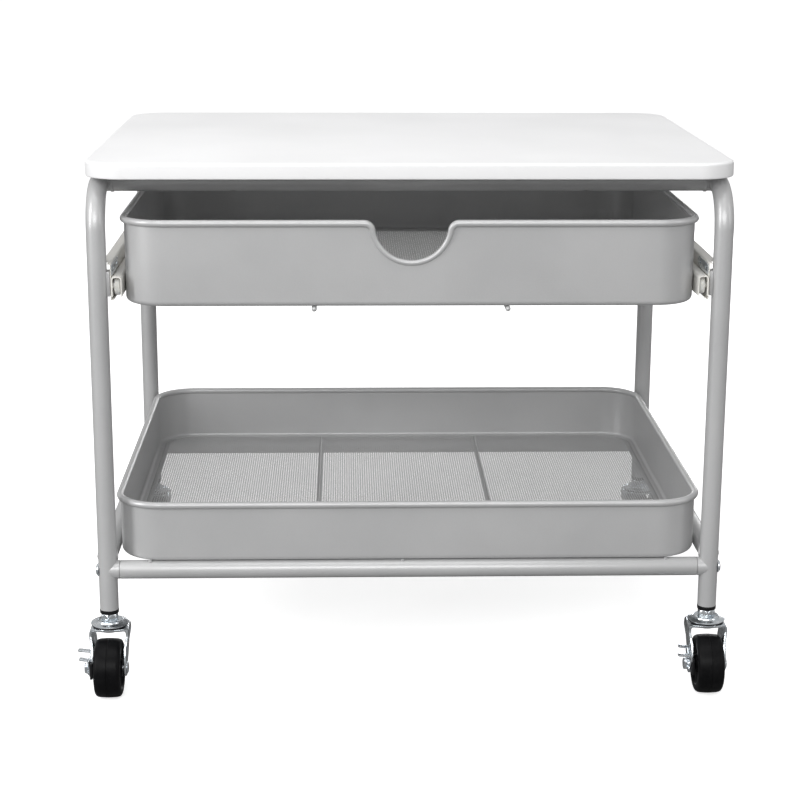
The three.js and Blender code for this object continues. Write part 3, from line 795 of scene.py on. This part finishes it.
def slides():
    for name, s in SIDES:
        def rolled(profile, y, z, sides=32, loop=False):
            return turned([(r, s * x) for r, x in profile], sides, "x", (0, y, z), loop=loop)

        def sheet(line, y0, y1, thickness=SHEET, radius=1.6):
            return folded([(s * x, z) for x, z in line], thickness, y0, y1, radius)

        web = [(343.2, 514.9), (339.8, 514.9), (339.8, 473.2), (336.4, 475.0)]
        shapes = [sheet(web, -268, 268)]
        shapes.append(sheet([(350.3, 514.9), (340.4, 514.9)], -253.5, 253.5, 1.16))
        shapes.append(sheet([(329.9, 477.0), (330.2, 475.0), (338.8, 475.0)], -238, 268, 1.16, 1.0))
        collar = [(0, 336.5), (3.6, 336.5), (3.9, 336.9), (3.9, 339.4), (0, 339.4)]
        shapes.append(rolled(collar, *FRONT_ROLLER))
        pin = [(0, 328.2), (2.6, 328.3), (3.5, 328.7), (3.6, 329.1), (2.5, 329.1)]
        shapes.append(rolled(pin + [(2.5, 339.4), (0, 339.4)], *FRONT_ROLLER))
        for y in (-236, -150, 150, 236):
            head = [(0, 340.9), (4.2, 340.8), (4.6, 339.6), (4.4, 338.9), (3.2, 338.5), (0, 338.4)]
            shapes.append(rolled(head, y, 484, 28))
        piece(f"{name}_fixed_slide", shapes, CREAM, "frame", [f"{name}_cabinet_slide"], "cream_paint")

        outline = [(-267, 502.4), (-215, 502.4), (-209, 506), (-209, 511), (-213, 514), (-267, 514)]
        faces = sorted((s * 337.6, s * 339.1))
        stop = plate(outline, *faces, "x", edge=0.3, steps=2)
        head = [(0, 336.7), (1.4, 336.8), (2.1, 337.3), (2.1, 337.9), (0, 337.9)]
        rivets = [rolled(head, y, 508.5, 24) for y in (-256, -224)]
        piece(f"{name}_slide_stop", [stop, *rivets], ZINC, "frame", slot="zinc")

        line = [(327.6, 478.6), (327.6, 500.9), (338.0, 500.9), (338.0, 495.2)]
        tip = line[:3] + [(338.0, 478.6)]
        shapes = [sheet(line, -270.6, 236, radius=4), sheet(tip, -274, -270.5, radius=4)]
        pin = [(0, 327.7), (3.9, 327.8), (3.9, 329.2), (2.5, 329.3), (2.5, 336.4), (3.6, 336.4)]
        shapes.append(rolled(pin + [(3.2, 337.0), (0, 337.2)], *REAR_ROLLER))
        for y in (-230, -80, 80, 200):
            head = [(0, 329.4), (1.6, 329.3), (2.8, 328.9), (3.2, 328.3), (3.2, 327.8), (0, 327.8)]
            shapes.append(rolled(head, y, 490, 24))
        piece(f"{name}_runner", shapes, CREAM, "drawer", [f"{name}_drawer_slide"], "cream_paint")

        for end, place in (("front", FRONT_ROLLER), ("rear", REAR_ROLLER)):
            half = [(2.8, 3.35), (4.6, 3.4), (4.9, 2.8), (8.2, 2.7), (8.6, 3.2), (9.4, 3.35)]
            half += [(10.0, 3.1), (10.6, 2.5), (10.9, 1.7), (11.0, 0.8)]
            profile = half + [(r, -x) for r, x in half[::-1]]
            disc = rolled([(r, 332.85 + x) for r, x in profile], *place, 56, True)
            body = f"{name}_{end}_roller"
            piece(f"{name}_{end}_nylon_roller", [disc], NYLON, body, [body], "nylon")


def brackets():
    """Blocks between slide and leg, each hollowed to sit against its round leg."""
    reach = TUBE_R + 0.3
    for end_name, end in ENDS:
        for name, s in SIDES:
            node = f"{end_name}_{name}_slide_bracket"
            low, high = corners(node)
            face, back = 340.8, 350
            first, last = -math.asin(4 / reach), math.acos((LEG_X - back) / reach)
            outline = [(face, -4)]
            for t in np.linspace(first, last, 14):
                outline.append((LEG_X - reach * math.cos(t), reach * math.sin(t)))
            outline += [(back, 12), (face, 12)]
            points = [(s * x, -end * dy) for x, dy in outline]
            if s * end > 0:
                points = points[::-1]
            shape = plate(points, low[2], high[2], at=(0, end * LEG_Y, 0), edge=0.3, steps=2)
            piece(f"{end_name}_{name}_bracket", [shape], GREY, "frame", [node], "grey_paint")


slides()
brackets()


# ---- casters --------------------------------------------------------------------------------
def leg_collar():
    top = LEG_BOTTOM
    profile = [(5.4, 97.1), (10.2, 97.1), (10.9, 97.5), (11.2, 98.0), (11.2, 98.7), (10.3, 99.0)]
    profile += [(10.3, 99.5), (11.2, 99.8), (11.3, 100.3), (11.3, top - 0.4)]
    profile += [(11.0, top - 0.1), (9.3, top - 0.1)]
    profile += [(9.3, top + 18), (5.4, top + 18)]
    return turned(profile, 56, loop=True)


def swivel_cap():
    """Domed disc with a raised ring, hexagon nut above it and the threaded pin."""
    profile = [(0, 76.2), (6.6, 76.2), (7.6, 77.0), (7.9, 78.6), (5, 78.6), (5, 83.4), (20.6, 83.4)]
    profile += [(20.7, 84.0), (21.9, 84.1), (22.3, 84.5), (22.2, 85.0), (21.2, 85.5), (18.8, 86.1)]
    profile += [(16.4, 86.5), (15.6, 87.0), (15.3, 88.0), (14.8, 88.6), (14.1, 88.6), (13.6, 88.0)]
    profile += [(13.2, 87.3), (12.0, 87.0), (5, 87.0)]
    for step in range(18):
        profile += [(5.0, 87.2 + step * 0.75), (4.6, 87.55 + step * 0.75)]
    profile += [(5, 101), (5, 122), (4, 123), (0, 123)]
    nut = hexagon("z", 18.6, 87.1, 96.8, (0, 0, 0), 1.1)
    return [turned(profile, 56), nut]


def painted_gap_shade_ring():
    """Black ring filling the gap between the swivel's two raceways: painted shade standing for the
    shaded gap, not a real seal.
    """
    profile = [(16, 82.4), (21.0, 82.4), (21.4, 82.7), (21.4, 83.8), (21.0, 84.05), (16, 84.05)]
    return turned(profile, 56, loop=True)


def fork_shape():
    """Pressed steel fork: a U of sheet, wide at the crown and narrow at the axle."""
    t = 3.0
    line = [(-19.1, 25.2), (-19.1, 58), (-21.6, 72), (-21.2, 80.4), (0, 80.4)]
    line += [(-x, z) for x, z in line[-2::-1]]
    path = rounded_line(line, 4.5, 8)
    fine = [path[0]]
    for a, b in zip(path, path[1:]):
        count = max(1, int(np.linalg.norm(b - a) / 2.2))
        for step in range(1, count + 1):
            fine.append(a + (b - a) * step / count)
    path = np.array(fine)
    along = directions(path, False)
    normal = np.stack([-along[:, 1], along[:, 0]], -1)
    rings = []
    for (x, z), n in zip(path, normal):
        if z < 35:
            half = math.sqrt(max(100 - (35 - z) ** 2, 1.5))
            y0, y1 = -TRAIL - half, -TRAIL + half
        else:
            s = min(1.0, (z - 35) / 30)
            y0 = -TRAIL - 10 + s * 13 * min(1.0, (z - 35) / 38)
            y1 = -TRAIL + 10 + 27 * math.sin(s * math.pi / 2)
        if abs(x) < 20 and z > 78:
            bow = 3.0 * (1 - (abs(x) / 20) ** 2)
            y0, y1 = y0 - bow, y1 + bow
        e = 0.7
        edge = [(y1 - e, -t / 2), (y1 - 0.2, -t / 2 + 0.25), (y1, -t / 2 + e)]
        edge += [(y, -h) for y, h in edge[::-1]]
        far = [(y0 + e, t / 2), (y0 + 0.2, t / 2 - 0.25), (y0, t / 2 - e)]
        far += [(y, -h) for y, h in far[::-1]]
        section = edge + far
        rings.append([(x + n[0] * h, y, z + n[1] * h) for y, h in section])
    raceway = [(6.2, 81.2), (20.6, 81.2), (20.9, 81.5), (20.6, 81.9), (17.5, 82.1), (6.2, 82.1)]
    lower = [(6.2, 79.3), (13.5, 79.3), (14.8, 78.2), (14.8, 76.8), (13.9, 76.2), (6.2, 76.2)]
    return [loft(rings), turned(raceway, 48, loop=True), turned(lower, 48, loop=True)]


def wheel_shape():
    half = [(4.4, 15.8), (7.4, 15.8), (8.0, 15.5), (10.2, 15.2), (10.6, 14.5), (11.2, 12.4)]
    half += [(12.0, 12.1), (22.6, 12.2), (23.6, 12.6), (24.4, 14.4), (25.2, 15.4)]
    half += [(26.4, 15.8), (28.6, 15.7), (31.2, 15.2), (32.8, 14.2), (33.8, 12.7)]
    half += [(34.3, 10.7), (34.6, 8.0), (34.85, 4.0), (34.98, 0.45), (34.6, 0.15)]
    profile = half + [(r, -x) for r, x in half[::-1]]
    hub = turned(profile, 96, "x", (0, -TRAIL, WHEEL_R), loop=True)
    spokes = []
    for side in (-1, 1):
        for k in range(6):
            a = k * math.pi / 3 + 0.2
            c, s = math.cos(a), math.sin(a)
            path = [(side * 12.3, -TRAIL + r * c, WHEEL_R + r * s) for r in (9.8, 13, 18, 23.8)]
            spokes.append(bar(path, (1.6, 1.35, 1.25, 1.5), sides=12))
    return [hub, *spokes]


def axle_shapes(left_seat):
    at = (0, -TRAIL, WHEEL_R)
    right = 20.9
    shank = [(0, -left_seat - 5.0), (3.4, -left_seat - 5.0), (4, -left_seat - 4.4), (4, right)]
    dome = [(7.2, right), (7.3, right + 0.5), (6.6, right + 1.3), (4.4, right + 1.9), (0, right + 2.1)]
    bolt = turned(shank + dome, 32, "x", at)
    head = hexagon("x", 12.8, -left_seat - 5.2, -left_seat - 0.9, at)
    low = -left_seat
    profile = [(4.1, low), (7.6, low), (7.7, low - 0.4), (7.5, low - 0.9), (4.1, low - 0.9)]
    return [bolt, head, turned(profile, 40, "x", at, loop=True)]


def rocker_shapes(long_way):
    """Brake rocker: a plate on the axle, two press tabs turned outward and their rivets.

    long_way says which tab is the longer one: -1 for the front one, 1 for the rear one."""
    y, z, x0, x1 = -TRAIL, WHEEL_R, -23.1, -21.1
    corner = [(18, 13), (18, 16.2), (10, 16.2), (3, 9.5), (-3, 9.5), (-10, 16.2), (-18, 16.2), (-18, 13)]
    corner = [(y + across, z + up) for across, up in corner]
    outline = list(rounded_line(corner, 2.5, 5))
    for step in range(25):
        t = math.pi * (1.05 + 0.9 * step / 24)
        outline.append(np.array([y + 10.8 * math.cos(t), z + 10.8 * math.sin(t)]))
    body = plate(outline, x0, x1, "x", edge=0.4, steps=2)
    shapes = [body]
    for way in (-1, 1):
        cy = y + way * 14
        tip = -36.6 if way == long_way else -31.6
        line = [(x1 - 1.0, z + 9), (x1 - 1.0, z + 15.4), (tip, z + 16.6)]
        path = rounded_line(line, 2.4, 6)
        along = directions(path, False)
        rings = []
        for (x, h), d in zip(path, along):
            n = (-d[1], d[0])
            half = 3.9
            section = [(-half, -0.7), (-half + 0.4, -1), (half - 0.4, -1), (half, -0.7)]
            section += [(u, -v) for u, v in section[::-1]]
            rings.append([(x + n[0] * v, cy + u, h + n[1] * v) for u, v in section])
        for shrink, out in ((0.93, 0.7), (0.72, 1.2), (0.4, 1.45)):
            section = [(u * shrink, v * 0.9) for u, v in section]
            x, h = path[-1]
            rings.append([(x - out + n[0] * v, cy + u, h + n[1] * v + out * 0.08) for u, v in section])
        shapes.append(loft(rings))
        rivet = [(0, -25.0), (1.7, -24.8), (2.5, -24.1), (2.7, -23.0), (0, -23.0)]
        shapes.append(turned(rivet, 24, "x", (0, y + way * 7.6, z - 3.2)))
    boss = [(4.4, -23.0), (7.4, -23.0), (7.2, -23.35), (4.4, -23.35)]
    shapes.append(turned(boss, 40, "x", (0, y, z), loop=True))
    return shapes


def shoe_shapes():
    """Dark brake blocks on the inner face of the rocker, one ahead of the arm and one behind."""
    made = []
    for way in (-1, 1):
        y = -TRAIL + way * 14.6
        outline = [(y - 2.6, 27), (y + 2.6, 27), (y + 2.9, 46.5), (y - 2.9, 46.5)]
        outline = list(rounded_line(outline + [outline[0]], 1.2, 4))[:-1]
        made.append(plate(outline, -21.0, -17.9, "x", edge=0.4, steps=2))
    return made


def body_of(node):
    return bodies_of(frame["nodes"][node])[0]


def casters():
    collar, cap, fork, wheel = leg_collar(), swivel_cap(), fork_shape(), wheel_shape()
    for end_name, end in ENDS:
        for side_name, side in SIDES:
            prefix = f"{end_name}_{side_name}"
            at = (side * LEG_X, end * LEG_Y, 0)
            turn = math.pi if end > 0 else 0.0
            fork_body, wheel_body = f"{prefix}_caster_fork", f"{prefix}_caster_wheel"
            braked = end < 0
            seat = 23.4 if braked else 20.9

            def put(name, shapes, *rest):
                piece(f"{prefix}_{name}", [moved(shape, at, turn) for shape in shapes], *rest)

            put("collar", [collar], PLASTIC, "frame", [f"{prefix}_leg_insert"], "black_plastic")
            put("swivel_cap", cap, ZINC, "frame", [f"{prefix}_swivel_stem"], "zinc")
            # the black ring in the swivel gap is painted shade, not a part of the caster
            put("swivel_gap_shade", [painted_gap_shade_ring()], PLASTIC, "frame", (), "black_plastic")
            put("fork_pressing", fork, ZINC, fork_body, [f"{prefix}_fork"], "zinc")
            put("tyre", wheel, RUBBER, wheel_body, [f"{prefix}_wheel"], "black_rubber")
            axle = f"{prefix}_axle"
            put("axle_bolt", axle_shapes(seat), ZINC, body_of(axle), [axle], "zinc")
            if braked:
                rocker = f"{prefix}_brake_rocker"
                body = body_of(rocker)
                put("brake_plate", rocker_shapes(-side), ZINC, body, [rocker], "zinc")
                put("brake_blocks", shoe_shapes(), PLASTIC, body, (), "black_plastic")


casters()


# ---- small weld dots between the tray and the lower cross tubes -----------------------------
DOT_X = (-305, -8, 303)


def weld_dots():
    profile = [(0, 159.2), (1.6, 159.6), (2.3, 160.8), (2.1, 162.4), (0, 163.0)]
    for name, end in ENDS:
        y = end * (LEG_Y - 1) + end * 4.5
        dots = [turned(profile, 20, at=(x, y, 0)) for x in DOT_X]
        piece(f"{name}_tray_tacks", dots, GREY, "frame", slot="grey_paint")


weld_dots()


# ---- room, light and camera -----------------------------------------------------------------
def room():
    f = Finish("studio_floor", roughness=0.9, specular=0.1)
    f.colour(f.blend(f.ramp(f.noise(3, 2), 0.3, 0.7), (0.88, 0.88, 0.88), (0.90, 0.90, 0.90)))
    f.shader.inputs["Emission Color"].default_value = (1, 1, 1, 1)
    f.shader.inputs["Emission Strength"].default_value = 0.62
    dim = f.tree.nodes.new("ShaderNodeBsdfDiffuse")
    dim.inputs["Color"].default_value = (0.25, 0.25, 0.25, 1)
    both = f.tree.nodes.new("ShaderNodeMixShader")
    seen = f.tree.nodes.new("ShaderNodeLightPath").outputs["Is Camera Ray"]
    f.tree.links.new(seen, both.inputs[0])
    f.tree.links.new(dim.outputs[0], both.inputs[1])
    f.tree.links.new(f.shader.outputs[0], both.inputs[2])
    f.tree.links.new(both.outputs[0], f.tree.nodes["Material Output"].inputs["Surface"])
    bpy.ops.mesh.primitive_plane_add(size=40)
    floor = bpy.context.object
    floor.name = "studio_floor"
    floor.data.materials.append(f.material)
    world = bpy.data.worlds.new("studio")
    bpy.context.scene.world = world
    world.use_nodes = True
    sky = world.node_tree
    background = sky.nodes["Background"]
    background.inputs["Color"].default_value = (1, 1, 1, 1)
    backdrop = sky.nodes.new("ShaderNodeMapRange")
    backdrop.inputs["To Min"].default_value = 0.49
    backdrop.inputs["To Max"].default_value = 1.0
    seen = sky.nodes.new("ShaderNodeLightPath").outputs["Is Camera Ray"]
    sky.links.new(seen, backdrop.inputs["Value"])
    sky.links.new(backdrop.outputs["Result"], background.inputs["Strength"])
    lamps = (
        ("top", (-0.2, -0.5, 3.2), (0, 0, 0.4), (2.4, 1.8), 29),
        ("front", (-0.4, -3.6, 2.0), (0, 0, 0.35), (3.0, 1.2), 58),
        ("left", (-2.8, -1.7, 1.6), (0, 0, 0.4), (0.7, 2.2), 52),
        ("right", (2.8, -1.6, 1.5), (0, 0, 0.4), (0.6, 2.0), 10),
        ("back", (0.6, 3.2, 0.42), (0, 0, 0.36), (2.4, 0.36), 14),
    )
    for name, place, target, size, power in lamps:
        data = bpy.data.lights.new(name, "AREA")
        data.shape = "RECTANGLE"
        data.size, data.size_y = size
        data.energy = power
        lamp = bpy.data.objects.new(name, data)
        lamp.location = place
        aim = Vector(target) - Vector(place)
        lamp.rotation_euler = aim.to_track_quat("-Z", "Y").to_euler()
        bpy.context.scene.collection.objects.link(lamp)


def camera():
    yaw, pitch, roll = (math.radians(v) for v in (-1.7029, -14.46, -0.2186))
    turn = Matrix.Rotation(yaw, 3, "Z") @ Matrix.Rotation(pitch, 3, "X") @ Matrix.Rotation(roll, 3, "Y")
    right, forward, up = turn.col[0], turn.col[1], turn.col[2]
    data = bpy.data.cameras.new("camera")
    data.sensor_width = 36
    data.lens = 84.53
    data.clip_end = 100
    cam = bpy.data.objects.new("camera", data)
    axes_in = Matrix((right, up, -forward)).transposed()
    cam.matrix_world = Matrix.Translation((-0.07447, -2.36567, 0.89682)) @ axes_in.to_4x4()
    bpy.context.scene.collection.objects.link(cam)
    bpy.context.scene.camera = cam


room()
camera()
bpy.context.scene.view_settings.view_transform = "Standard"

bpy.context.view_layer.update()
